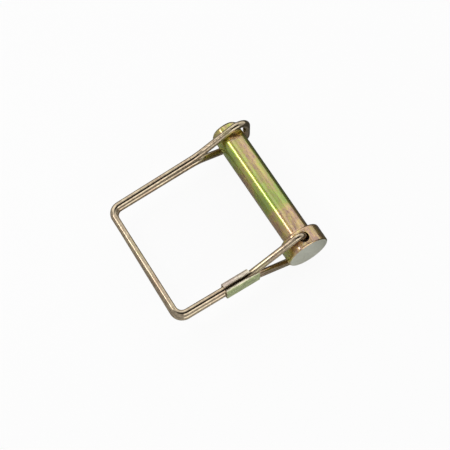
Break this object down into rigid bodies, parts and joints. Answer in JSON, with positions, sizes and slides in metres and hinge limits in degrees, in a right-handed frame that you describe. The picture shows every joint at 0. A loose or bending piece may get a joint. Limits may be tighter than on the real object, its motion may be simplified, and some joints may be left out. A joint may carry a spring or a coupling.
{
  "type": "hitch pin lock",
  "caption": "Headed round pin with a square, doubled spring-wire retainer that pivots in the head, wraps the tip and is held together by a crimped sleeve.",
  "frame": {"origin": "centre of the pin's flat head face", "axes": "+Y along the pin from its head face to its tip; the retainer's square frame spreads towards -X in the XY plane; +Z is parallel to the head's cross hole, which is the retainer's swing axis"},
  "size_m": [0.0562, 0.0512, 0.0208],
  "materials": {
    "pin_yellow_zinc": "glossy iridescent yellow zinc chromate on steel",
    "wire_yellow_zinc": "glossy yellow zinc chromate on spring steel wire",
    "sleeve_yellow_zinc": "satin yellow zinc chromate on sheet steel"
  },
  "bodies": {
    "pin": {"pin": "pin_yellow_zinc"},
    "retainer": {"retainer_wire": "wire_yellow_zinc", "crimp_sleeve": "sleeve_yellow_zinc"}
  },
  "joints": [
    {"name": "retainer_swing", "type": "hinge", "parent": "pin", "child": "retainer", "pos_m": [0, 0.0032, 0], "axis": [0, 0, 1], "range_deg": [0, 245], "deforming": ["retainer_wire"]}
  ]
}
